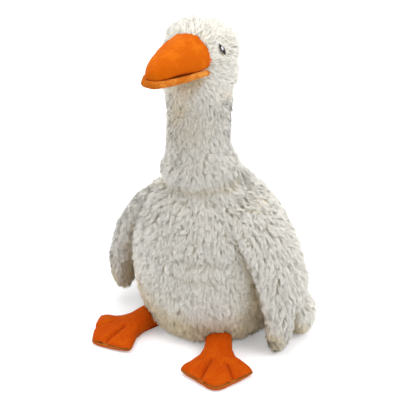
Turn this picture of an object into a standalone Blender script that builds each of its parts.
"""A seated plush goose: long-pile body and wings, velour beak and feet, fibre filling."""
import math

import bmesh
import bpy
import numpy as np
from mathutils import Matrix, Vector

# Driving sizes in metres
HEIGHT = 0.337
BODY_HALF_WIDTH = 0.087
BODY_HALF_DEPTH = 0.089
COVER = 0.0045
VELOUR = 0.0025
GAP = 0.0003
REACH = 3 * max(BODY_HALF_WIDTH, BODY_HALF_DEPTH)

# Head features
MOUTH_HEIGHT = 0.886 * HEIGHT
BEAK_DROOP = 0.053
BEAK_TIP = 1.236 * BODY_HALF_DEPTH
BEAK_HALF_WIDTH = 0.314 * BODY_HALF_WIDTH
BEAK_HEIGHT = 0.098 * HEIGHT
BEAK_WIDEST = 0.26
BEAK_CREST = 1.35
LIP_THICKNESS = 0.0185 * HEIGHT
LIP_OVERHANG = 0.0027
EYE_LENGTH = 0.0115
EYE_WIDTH = 0.0060
EYE_PROUD = 0.0016
EYE_LEVEL = 0.938 * HEIGHT
EYE_ANGLE = math.radians(70)
EYE_SLANT = math.radians(25)

# Feet
FOOT_LENGTH = 0.800 * BODY_HALF_DEPTH
FOOT_HALF_WIDTH = 0.431 * BODY_HALF_WIDTH
FOOT_HEIGHT = 0.040 * HEIGHT
FOOT_SEAM = 0.44 * FOOT_HEIGHT
FOOT_SPREAD = 0.506 * BODY_HALF_WIDTH
FOOT_FRONT = 0.722 * BODY_HALF_DEPTH
FOOT_SPLAY = math.radians(27)
FOOT_INSET = VELOUR + 2 * GAP
CHANNEL_RADIUS = 0.0035
CHANNEL_DEPTH = 0.0022

# Tail
TAIL_END = 1.371 * BODY_HALF_DEPTH
TAIL_HALF_WIDTH = 0.356 * BODY_HALF_WIDTH
TAIL_HALF_THICKNESS = 0.059 * HEIGHT
TAIL_INSET = 0.7 * COVER

# The right wing has ridden up a little towards its shoulder
WING_RIDE = 0.13

# Levels, as shares of the height, where the wing's pocket and its filling start
WING_POCKET = 0.362
WING_FILLING_TOP = 0.350

# Where the sewn panels meet
NECK_SEAM = 0.4985 * HEIGHT
BELLY_HALF_ANGLE = math.radians(48)

# Level as a share of the height; half width, front and back as shares of the body's own
BODY = [
    (0.000, 0.690, 0.697, 0.697), (0.015, 0.805, 0.809, 0.809), (0.042, 0.885, 0.888, 0.899),
    (0.089, 0.943, 0.944, 0.966), (0.148, 0.977, 0.989, 0.989), (0.223, 1.000, 1.011, 0.966),
    (0.297, 0.989, 1.000, 0.910), (0.371, 0.920, 0.955, 0.820), (0.430, 0.793, 0.876, 0.685),
    (0.475, 0.644, 0.809, 0.539), (0.510, 0.506, 0.764, 0.382), (0.540, 0.448, 0.742, 0.270),
    (0.564, 0.414, 0.725, 0.157), (0.593, 0.385, 0.702, 0.067), (0.638, 0.368, 0.685, 0.011),
    (0.697, 0.362, 0.674, 0.000), (0.742, 0.368, 0.674, 0.022), (0.777, 0.391, 0.697, 0.067),
    (0.816, 0.414, 0.742, 0.124), (0.861, 0.425, 0.758, 0.157), (0.905, 0.420, 0.753, 0.157),
    (0.944, 0.379, 0.697, 0.101), (0.970, 0.310, 0.607, 0.022), (0.988, 0.207, 0.506, -0.090),
    (0.9985, 0.080, 0.360, -0.225),
]

# Level, centre outwards, centre forwards, half thickness, half breadth
WING = [
    (0.499, 0.437, -0.090, 0.092, 0.180), (0.475, 0.506, -0.112, 0.138, 0.360),
    (0.445, 0.609, -0.135, 0.172, 0.449), (0.415, 0.701, -0.146, 0.195, 0.494),
    (0.356, 0.839, -0.157, 0.218, 0.517), (0.297, 0.954, -0.157, 0.230, 0.506),
    (0.237, 1.034, -0.157, 0.230, 0.494), (0.187, 1.092, -0.157, 0.230, 0.472),
    (0.142, 1.103, -0.169, 0.207, 0.427), (0.113, 1.115, -0.180, 0.138, 0.337),
]

# Feathered ends of the wing: outwards, forwards, level, and the three half sizes
WING_LOBES = [
    (1.149, -0.404, 0.119, 0.172, 0.213, 0.110), (1.218, 0.067, 0.080, 0.184, 0.247, 0.071),
]

# Share of the way out, half width, half thickness, level of the centre
TAIL = [
    (0.50, 1.00, 1.00, 0.119), (0.66, 0.98, 0.90, 0.131), (0.78, 0.86, 0.75, 0.148),
    (0.90, 0.60, 0.55, 0.172), (0.97, 0.36, 0.35, 0.190), (1.00, 0.16, 0.15, 0.199),
]

# Share of the way to the tip, half width, rise of the top above the mouth
BEAK = [
    (0.42, 0.98, 0.98), (0.50, 1.00, 0.93), (0.58, 0.95, 0.86), (0.66, 0.845, 0.79),
    (0.74, 0.745, 0.73), (0.82, 0.65, 0.65), (0.89, 0.535, 0.54), (0.95, 0.395, 0.41),
    (0.985, 0.27, 0.29), (1.00, 0.12, 0.18),
]

# Share of the length, half width, height of the top, height of the sole
FOOT = [
    (-0.23, 0.36, 2.20, 0.20), (-0.09, 0.375, 2.05, 0.06), (0.09, 0.38, 1.75, 0.00),
    (0.26, 0.42, 1.42, 0.00), (0.39, 0.54, 1.22, 0.00), (0.49, 0.76, 1.10, 0.00),
    (0.57, 0.94, 1.03, 0.00), (0.63, 1.00, 0.98, 0.00), (0.70, 0.87, 0.96, 0.00),
    (0.78, 0.68, 0.93, 0.00), (0.86, 0.46, 0.88, 0.00), (0.93, 0.27, 0.80, 0.02),
    (0.97, 0.15, 0.68, 0.10), (1.00, 0.05, 0.52, 0.22),
]

# Angle from the front, level, half angle in degrees, half height and depth in metres
FOLDS = [
    (0, 0.4985, 62, 0.0050, 0.0030), (0, 0.555, 60, 0.0055, -0.0022),
    (22, 0.312, 20, 0.0045, 0.0028), (20, 0.249, 22, 0.0045, 0.0028),
    (-48, 0.065, 9, 0.0040, 0.0020), (8, 0.134, 30, 0.0080, -0.0020),
]


def remove_everything():
    for found in list(bpy.data.objects):
        bpy.data.objects.remove(found, do_unlink=True)


def material(name, colour, roughness):
    made = bpy.data.materials.new(name)
    made.use_nodes = True
    shader = made.node_tree.nodes["Principled BSDF"]
    shader.inputs["Base Color"].default_value = (*colour, 1.0)
    shader.inputs["Roughness"].default_value = roughness
    shader.inputs["Metallic"].default_value = 0.0
    return made


def smooth_row(table, where):
    """Read a table of sections between its rows with an even curve."""
    rows = np.array(table, dtype=float)
    if rows[0, 0] > rows[-1, 0]:
        rows = rows[::-1]
    places = rows[:, 0]
    slopes = np.gradient(rows[:, 1:], places, axis=0)
    index = int(np.clip(np.searchsorted(places, where) - 1, 0, len(places) - 2))
    span = places[index + 1] - places[index]
    share = float(np.clip((where - places[index]) / span, 0.0, 1.0))
    start, end = rows[index, 1:], rows[index + 1, 1:]
    ease = share * share * (3 - 2 * share)
    lead = share * (1 - share) ** 2
    tail = -share * share * (1 - share)
    return start + (end - start) * ease + span * (slopes[index] * lead + slopes[index + 1] * tail)


def as_object(bm, name):
    """Close the bmesh into an object with smooth sides and outward faces."""
    bmesh.ops.recalc_face_normals(bm, faces=bm.faces[:])
    mesh = bpy.data.meshes.new(name)
    bm.to_mesh(mesh)
    bm.free()
    mesh.shade_smooth()
    mesh.set_sharp_from_angle(angle=math.radians(50))
    made = bpy.data.objects.new(name, mesh)
    bpy.context.collection.objects.link(made)
    return made


def closed_edges(bm, ring):
    return [bm.edges.get(pair) for pair in zip(ring, ring[1:] + ring[:1])]


def skin(rings):
    """Draw a capped circle out through a row of rings, each a list of points."""
    bm = bmesh.new()
    ring = bmesh.ops.create_circle(bm, cap_ends=True, segments=len(rings[0]), radius=1.0)["verts"]
    for number, points in enumerate(rings):
        if number:
            drawn = bmesh.ops.extrude_edge_only(bm, edges=closed_edges(bm, ring))["geom"]
            fresh = {item for item in drawn if isinstance(item, bmesh.types.BMVert)}
            ring = [next(edge.other_vert(vert) for edge in vert.link_edges
                         if edge.other_vert(vert) in fresh) for vert in ring]
        for vert, point in zip(ring, points):
            vert.co = point
    bmesh.ops.contextual_create(bm, geom=closed_edges(bm, ring))
    bmesh.ops.recalc_face_normals(bm, faces=bm.faces[:])
    bm.normal_update()
    return bm


def grow(bm, distance):
    """Move the whole skin outwards along its normals, or inwards if negative."""
    moves = [vert.normal * distance for vert in bm.verts]
    for vert, move in zip(bm.verts, moves):
        vert.co += move


def shrunk(half_size, inset):
    """A half size made smaller by the inset, down to a sliver that still nests."""
    return max(half_size - inset, 0.0012 - 0.15 * inset)


def hidden(cutter):
    cutter.hide_render = True
    cutter.display_type = "WIRE"
    return cutter


def boolean(target, other, operation, solver="EXACT"):
    step = target.modifiers.new(operation.lower(), "BOOLEAN")
    step.operation = operation
    step.object = other
    step.solver = solver


def prism(name, outline, low, high):
    """A cutter with a flat outline, raised from one height to another."""
    bm = bmesh.new()
    face = bm.faces.new([bm.verts.new((x, y, low)) for x, y in outline])
    raised = bmesh.ops.extrude_face_region(bm, geom=[face])["geom"]
    tops = [item for item in raised if isinstance(item, bmesh.types.BMVert)]
    bmesh.ops.translate(bm, verts=tops, vec=(0, 0, high - low))
    return hidden(as_object(bm, name))


def block(name, low, high):
    """A box cutter between two corners."""
    return prism(name, [(low[0], low[1]), (high[0], low[1]), (high[0], high[1]), (low[0], high[1])],
                 low[2], high[2])


# Body, neck and head share one form, read at any height and angle from the front

def fold_depth(angle, height):
    """How far the gathers pull the cloth in at one place; a ridge is negative."""
    total = 0.0
    for centre, level, half_angle, half_height, depth in FOLDS:
        along = (math.degrees(angle) - centre + 180) % 360 - 180
        total += depth * math.exp(-((along / half_angle) ** 2) * 1.4
                                  - ((height - level * HEIGHT) / half_height) ** 2)
    return total


def body_point(height, angle, folds=True):
    half_width, front, back = smooth_row(BODY, height / HEIGHT)
    half_width *= BODY_HALF_WIDTH
    depth = (front + back) / 2 * BODY_HALF_DEPTH
    centre = (back - front) / 2 * BODY_HALF_DEPTH
    pull = fold_depth(angle, height) if folds else 0.0
    return Vector(((half_width - pull) * math.sin(angle), centre - (depth - pull) * math.cos(angle),
                   height))


def body_form(name, heights, segments, growth=0.0, folds=True, bottom=None):
    turn = 2 * math.pi / segments
    rings = [[body_point(height, turn * step, folds) for step in range(segments)]
             for height in heights]
    bm = skin(rings)
    lowest = [vert for vert in bm.verts if vert.co.z < heights[0] + 1e-6]
    grow(bm, growth)
    if bottom is not None:
        for vert in lowest:
            vert.co.z = bottom
        for vert in bm.verts:
            vert.co.z = max(vert.co.z, bottom)
    return hidden(as_object(bm, name))


def fine_heights():
    """Levels close enough together for the gathers to show."""
    low = [0.0, 0.015, 0.036]
    torso = np.linspace(0.060, NECK_SEAM / HEIGHT, 18)
    neck = np.linspace(NECK_SEAM / HEIGHT, 0.777, 10)[1:]
    head = np.linspace(0.777, 0.944, 7)[1:]
    crown = [0.961, 0.976, 0.988, 0.996]
    return [share * HEIGHT for share in [*low, *torso, *neck, *head, *crown]]


def coarse_heights():
    """Levels for the filling and for the inside of the cloth."""
    shares = [0.0, 0.030, 0.075, 0.150, 0.223, 0.297, 0.371, 0.430, 0.475, 0.510, 0.540, 0.568, 0.600,
              0.660, 0.735, 0.790, 0.850, 0.905, 0.950, 0.980]
    return [share * HEIGHT for share in shares]


def wedge(name, start, end, low, high):
    """A slice round the upright axis, a hair short of its seams on both sides."""
    middle = (start + end) / 2
    back_off = GAP / 2 / math.sin((end - start) / 2)
    apex = Vector((math.sin(middle), -math.cos(middle))) * back_off
    outline = [(apex.x, apex.y)]
    for angle in np.linspace(start, end, 5):
        outline.append((apex.x + REACH * math.sin(angle), apex.y - REACH * math.cos(angle)))
    return prism(name, outline, low, high)


def make_body(fur, filling):
    fine = fine_heights()
    coarse = coarse_heights()
    outside = body_form("form_body", fine, 32)
    cavity = body_form("form_cavity", coarse, 16, -COVER, False, bottom=-COVER / 2)
    base_top = COVER - GAP
    slab = block("cut_base", (-REACH, -REACH, -COVER), (REACH, REACH, base_top))
    base = copy_of(outside, "base_panel", fur)
    boolean(base, slab, "INTERSECT")

    side_start = BELLY_HALF_ANGLE
    slices = {"belly_panel": (-side_start, side_start), "left_side_panel": (side_start, math.pi),
              "right_side_panel": (-math.pi, -side_start)}
    for name, (start, end) in slices.items():
        panel = copy_of(outside, name, fur)
        boolean(panel, cavity, "DIFFERENCE")
        boolean(panel, wedge("cut_" + name, start, end, COVER, NECK_SEAM - GAP / 2), "INTERSECT")

    for name, side in (("head_left_panel", 1), ("head_right_panel", -1)):
        near, far = sorted((side * GAP / 2, side * REACH))
        half = block("cut_" + name, (near, -REACH, NECK_SEAM + GAP / 2), (far, REACH, 1.1 * HEIGHT))
        panel = copy_of(outside, name, fur)
        boolean(panel, cavity, "DIFFERENCE")
        boolean(panel, half, "INTERSECT")

    stuffing = body_form("body_filling", coarse, 16, -COVER - 2 * GAP, False, bottom=COVER)
    show(stuffing, filling)


def copy_of(form, name, look):
    made = bpy.data.objects.new(name, form.data.copy())
    bpy.context.collection.objects.link(made)
    return show(made, look)


def show(made, look):
    made.hide_render = False
    made.display_type = "TEXTURED"
    made.data.materials.clear()
    made.data.materials.append(look)
    return made


def swap_for_mirrored(piece):
    """Turn a piece drawn on the left into the right-hand one."""
    name = piece.name
    piece.name = "form_" + name
    mirrored(piece, name)
    hidden(piece)


def mirrored(source, name):
    """The right-hand piece is the finished left-hand one, seen in a mirror."""
    bpy.context.view_layer.update()
    bm = bmesh.new()
    bm.from_object(source, bpy.context.evaluated_depsgraph_get())
    bmesh.ops.scale(bm, vec=(-1, 1, 1), verts=bm.verts[:])
    bmesh.ops.reverse_faces(bm, faces=bm.faces[:])
    return show(as_object(bm, name), source.data.materials[0])


# Wings hang from the shoulders and lie along the body

def ridden(share, ride):
    """A level on the wing, drawn up towards the shoulder when the wing rides up."""
    return share + (WING[0][0] - share) * ride


def wing_ring(share, segments, inset, ride):
    outwards, forwards, thick, broad = smooth_row(WING, share)
    thick = thick * BODY_HALF_WIDTH - inset
    broad = broad * BODY_HALF_DEPTH - inset
    centre = Vector((outwards * BODY_HALF_WIDTH, forwards * BODY_HALF_DEPTH,
                     ridden(share, ride) * HEIGHT))
    turn = 2 * math.pi / segments
    return [centre + Vector((thick * math.sin(turn * step), -broad * math.cos(turn * step), 0))
            for step in range(segments)]


def wing_form(name, segments, levels, inset, ride, start=WING[0][0]):
    """The hanging length of the wing with its two feathered ends."""
    top = start - inset / HEIGHT
    bottom = WING[-1][0] + inset / HEIGHT
    shares = np.linspace(top, bottom, levels)
    arm = as_object(skin([wing_ring(share, segments, inset, ride) for share in shares]), name)
    for index, (outwards, forwards, level, thick, broad, tall) in enumerate(WING_LOBES):
        bm = bmesh.new()
        bmesh.ops.create_uvsphere(bm, u_segments=segments * 2 // 3, v_segments=max(6, levels * 3 // 4),
                                  radius=1.0)
        sizes = (thick * BODY_HALF_WIDTH - inset, broad * BODY_HALF_DEPTH - inset,
                 tall * HEIGHT - inset)
        place = (outwards * BODY_HALF_WIDTH, forwards * BODY_HALF_DEPTH, ridden(level, ride) * HEIGHT)
        bmesh.ops.transform(bm, matrix=Matrix.LocRotScale(Vector(place), None, Vector(sizes)),
                            verts=bm.verts[:])
        lobe = hidden(as_object(bm, f"{name}_lobe_{index}"))
        boolean(arm, lobe, "UNION", "MANIFOLD")
    return arm


def wing_half(name, outer, ride):
    """Everything on one side of the wing's middle, from top to bottom."""
    rings = []
    for share in np.linspace(-0.03, 0.60, 22):
        held = min(max(share, WING[-1][0]), WING[0][0])
        middle = smooth_row(WING, held)[0] * BODY_HALF_WIDTH
        near, far = (middle + GAP / 2, REACH) if outer else (GAP, middle - GAP / 2)
        height = ridden(share, ride) * HEIGHT
        rings.append([Vector((near, -REACH, height)), Vector((far, -REACH, height)),
                      Vector((far, REACH, height)), Vector((near, REACH, height))])
    return hidden(as_object(skin(rings), name))


def make_wings(fur, filling, torso):
    clear = grown_copy(torso, "form_body_clear", GAP)
    inner_clear = body_form("form_body_inner_clear", coarse_heights(), 24, COVER + 4 * GAP, False)
    filling_clear = body_form("form_body_filling_clear", coarse_heights(), 24,
                              COVER + 8 * GAP, False)
    for word, ride in (("left", 0.0), ("right", WING_RIDE)):
        cavity = hidden(wing_form(f"form_{word}_wing_cavity", 12, 7, COVER, ride,
                                  WING_POCKET))
        boolean(cavity, inner_clear, "DIFFERENCE", "MANIFOLD")
        pieces = []
        for part, outer in (("outer", True), ("inner", False)):
            panel = show(wing_form(f"{word}_wing_{part}_panel", 16, 10, 0.0, ride), fur)
            boolean(panel, clear, "DIFFERENCE", "MANIFOLD")
            boolean(panel, cavity, "DIFFERENCE", "MANIFOLD")
            half = wing_half(f"cut_{word}_wing_{part}", outer, ride)
            boolean(panel, half, "INTERSECT", "MANIFOLD")
            pieces.append(panel)
        wad = show(wing_form(f"{word}_wing_filling", 12, 7, COVER + 4 * GAP, ride,
                             WING_FILLING_TOP), filling)
        boolean(wad, filling_clear, "DIFFERENCE", "MANIFOLD")
        pieces.append(wad)
        if word == "right":
            for piece in pieces:
                swap_for_mirrored(piece)


def grown_copy(form, name, growth):
    bm = bmesh.new()
    bm.from_mesh(form.data)
    bm.normal_update()
    grow(bm, growth * 1.15)
    return hidden(as_object(bm, name))


# The tail is a small pointed cushion low on the back

def tail_form(name, segments, inset):
    rings = []
    for share, half_width, half_thick, level in TAIL:
        reach = share * (TAIL_END - inset)
        wide = shrunk(half_width * TAIL_HALF_WIDTH, inset)
        thick = shrunk(half_thick * TAIL_HALF_THICKNESS, inset)
        turns = [2 * math.pi / segments * (step + 0.5) for step in range(segments)]
        rings.append([Vector((wide * math.sin(turn), reach, level * HEIGHT + thick * math.cos(turn)))
                      for turn in turns])
    return as_object(skin(rings), name)


def tail_half(name, upper):
    """Everything above or below the tail's middle."""
    rings = []
    for share in (0.30, 0.50, 0.66, 0.78, 0.90, 0.97, 1.00, 1.20):
        held = min(max(share, TAIL[0][0]), TAIL[-1][0])
        middle = smooth_row(TAIL, held)[2] * HEIGHT
        low, high = (middle + GAP / 2, HEIGHT) if upper else (-COVER, middle - GAP / 2)
        reach = share * TAIL_END
        rings.append([Vector((-REACH, reach, low)), Vector((REACH, reach, low)),
                      Vector((REACH, reach, high)), Vector((-REACH, reach, high))])
    return hidden(as_object(skin(rings), name))


def make_tail(fur, filling):
    clear = bpy.data.objects["form_body_clear"]
    cavity = hidden(tail_form("form_tail_cavity", 12, TAIL_INSET))
    inner_clear = bpy.data.objects["form_body_inner_clear"]
    boolean(cavity, inner_clear, "DIFFERENCE", "MANIFOLD")
    for name, upper in (("tail_upper_panel", True), ("tail_lower_panel", False)):
        panel = show(tail_form(name, 18, 0.0), fur)
        boolean(panel, clear, "DIFFERENCE", "MANIFOLD")
        boolean(panel, cavity, "DIFFERENCE", "MANIFOLD")
        boolean(panel, tail_half("cut_" + name, upper), "INTERSECT", "MANIFOLD")
    wad = show(tail_form("tail_filling", 12, TAIL_INSET + 3 * GAP), filling)
    boolean(wad, bpy.data.objects["form_body_filling_clear"], "DIFFERENCE", "MANIFOLD")


# The beak: a deep rounded upper part over a thin padded lip

def beak_ring(reach, half_width, top, bottom, segments):
    middle = bottom + (top - bottom) * BEAK_WIDEST
    points = []
    for step in range(segments):
        angle = 2 * math.pi * step / segments
        lift = math.cos(angle)
        spread = math.sin(angle)
        wide = half_width * math.copysign(abs(spread) ** 0.85, spread)
        if lift >= 0:
            height = middle + (top - middle) * lift ** BEAK_CREST
        else:
            height = middle - (middle - bottom) * (-lift) ** 0.6
        points.append(Vector((wide, -reach, height)))
    return points


def drooped(point):
    """The mouth runs down a little towards the tip."""
    return point + Vector((0, 0, BEAK_DROOP * (point.y + BEAK_TIP / 2)))


def beak_form(name, segments, inset):
    bottom = MOUTH_HEIGHT + GAP / 2 + inset
    rings = []
    for share, wide, top in BEAK:
        half_width = shrunk(wide * BEAK_HALF_WIDTH, inset)
        crest = max(MOUTH_HEIGHT + top * BEAK_HEIGHT - inset, bottom + 0.0015)
        ring = beak_ring(share * BEAK_TIP - inset * share ** 6, half_width, crest, bottom, segments)
        rings.append([drooped(point) for point in ring])
    return as_object(skin(rings), name)


def lip_form(name, segments, inset):
    top = MOUTH_HEIGHT - GAP / 2 - inset
    bottom = MOUTH_HEIGHT - LIP_THICKNESS + inset
    rings = []
    for share, wide, _ in BEAK:
        half_width = shrunk(wide * BEAK_HALF_WIDTH + LIP_OVERHANG, inset)
        reach = share * (BEAK_TIP + LIP_OVERHANG) - inset * share ** 6
        points = []
        for step in range(segments):
            angle = 2 * math.pi * step / segments
            spread = math.sin(angle)
            points.append(Vector((half_width * math.copysign(abs(spread) ** 0.7, spread), -reach,
                                  (top + bottom) / 2 + (top - bottom) / 2 * math.cos(angle))))
        rings.append([drooped(point) for point in points])
    return as_object(skin(rings), name)


def make_beak(velour, filling):
    head = bpy.data.objects["form_body_clear"]
    for part, maker in (("upper", beak_form), ("lower", lip_form)):
        shell = VELOUR if part == "upper" else VELOUR * 0.7
        cavity = hidden(maker(f"form_{part}_beak_cavity", 10, shell))
        panel = show(maker(f"{part}_beak_panel", 16, 0.0), velour)
        boolean(panel, cavity, "DIFFERENCE", "MANIFOLD")
        boolean(panel, head, "DIFFERENCE", "MANIFOLD")
        wad = show(maker(f"{part}_beak_filling", 10, shell + 2 * GAP), filling)
        boolean(wad, head, "DIFFERENCE", "MANIFOLD")


# Webbed feet: a short leg and three stitched toes

def foot_place():
    turned = Matrix.Rotation(FOOT_SPLAY, 4, "Z")
    return Matrix.Translation(Vector((FOOT_SPREAD, -FOOT_FRONT, 0))) @ turned


def foot_form(name, segments, inset):
    rings = []
    for share, wide, top, sole in FOOT:
        half_width = shrunk(wide * FOOT_HALF_WIDTH, inset)
        half_height = shrunk((top - sole) / 2 * FOOT_HEIGHT, inset)
        low = (top + sole) / 2 * FOOT_HEIGHT - half_height
        high = low + 2 * half_height
        reach = share * FOOT_LENGTH - inset * max(share, 0.0) ** 4
        points = []
        for step in range(segments):
            angle = 2 * math.pi * step / segments
            spread, lift = math.sin(angle), math.cos(angle)
            round_off = 0.62 if lift < 0 else 0.80
            middle = low + (high - low) * 0.42
            height = middle + (high - middle if lift > 0 else middle - low) * math.copysign(
                abs(lift) ** round_off, lift)
            points.append(Vector((half_width * math.copysign(abs(spread) ** 0.8, spread), -reach, height)))
        rings.append(points)
    bm = skin(rings)
    bmesh.ops.transform(bm, matrix=foot_place(), verts=bm.verts[:])
    return as_object(bm, name)


def channel(name, lean):
    """The hollow pressed in by one line of stitching between two toes."""
    start = Vector((lean * 0.16 * FOOT_HALF_WIDTH, -0.34 * FOOT_LENGTH, 1.28 * FOOT_HEIGHT))
    end = Vector((lean * 0.62 * FOOT_HALF_WIDTH, -0.90 * FOOT_LENGTH, 0.78 * FOOT_HEIGHT))
    above = Vector((0, 0, CHANNEL_RADIUS - CHANNEL_DEPTH))
    line = end - start
    bm = bmesh.new()
    bmesh.ops.create_cone(bm, cap_ends=True, segments=8, radius1=CHANNEL_RADIUS * 0.6,
                          radius2=CHANNEL_RADIUS * 1.1, depth=line.length)
    turn = line.to_track_quat("Z", "Y").to_matrix().to_4x4()
    middle = Matrix.Translation((start + end) / 2 + above)
    bmesh.ops.transform(bm, matrix=foot_place() @ middle @ turn, verts=bm.verts[:])
    return hidden(as_object(bm, name))


def make_feet(velour, filling):
    clear = bpy.data.objects["form_body_clear"]
    low_box = block("cut_sole", (-REACH, -REACH, -COVER), (REACH, REACH, FOOT_SEAM - GAP / 2))
    high_box = block("cut_top", (-REACH, -REACH, FOOT_SEAM + GAP / 2), (REACH, REACH, HEIGHT))
    cavity = hidden(foot_form("form_foot_cavity", 10, FOOT_INSET))
    for part, box in (("top", high_box), ("sole", low_box)):
        panel = show(foot_form(f"left_foot_{part}_panel", 16, 0.0), velour)
        if part == "top":
            for lean in (-1, 1):
                boolean(panel, channel(f"cut_channel_{lean + 1}", lean), "DIFFERENCE", "MANIFOLD")
        boolean(panel, cavity, "DIFFERENCE", "MANIFOLD")
        boolean(panel, box, "INTERSECT", "MANIFOLD")
        boolean(panel, clear, "DIFFERENCE", "MANIFOLD")
        mirrored(panel, f"right_foot_{part}_panel")
    wad = show(foot_form("left_foot_filling", 10, FOOT_INSET + 3 * GAP), filling)
    boolean(wad, clear, "DIFFERENCE", "MANIFOLD")
    mirrored(wad, "right_foot_filling")


# Embroidered eyes, one on each side of the head

def make_eyes(thread):
    height = EYE_LEVEL
    centre = body_point(height, EYE_ANGLE, False)
    upwards = (body_point(height + 0.004, EYE_ANGLE, False) - centre).normalized()
    forwards = (body_point(height, EYE_ANGLE - 0.06, False) - centre).normalized()
    long_way = (upwards * math.cos(EYE_SLANT) + forwards * math.sin(EYE_SLANT)).normalized()
    outwards = upwards.cross(forwards).normalized()
    cross_way = long_way.cross(outwards).normalized()
    bm = bmesh.new()
    bmesh.ops.create_uvsphere(bm, u_segments=12, v_segments=6, radius=1.0)
    frame = Matrix((cross_way * EYE_WIDTH / 2, long_way * EYE_LENGTH / 2,
                    outwards * (EYE_PROUD + GAP))).transposed().to_4x4()
    bmesh.ops.transform(bm, matrix=Matrix.Translation(centre) @ frame, verts=bm.verts[:])
    eye = show(as_object(bm, "left_eye"), thread)
    boolean(eye, bpy.data.objects["form_body_clear"], "DIFFERENCE", "MANIFOLD")
    mirrored(eye, "right_eye")


def main():
    remove_everything()
    fur = material("cream_pile", (0.78, 0.75, 0.66), 0.95)
    filling = material("fibre_filling", (0.90, 0.90, 0.88), 0.98)
    velour = material("orange_velour", (0.80, 0.17, 0.015), 0.85)
    thread = material("black_thread", (0.010, 0.010, 0.012), 0.55)
    make_body(fur, filling)
    make_wings(fur, filling, bpy.data.objects["form_body"])
    make_tail(fur, filling)
    make_beak(velour, filling)
    make_feet(velour, filling)
    make_eyes(thread)


main()
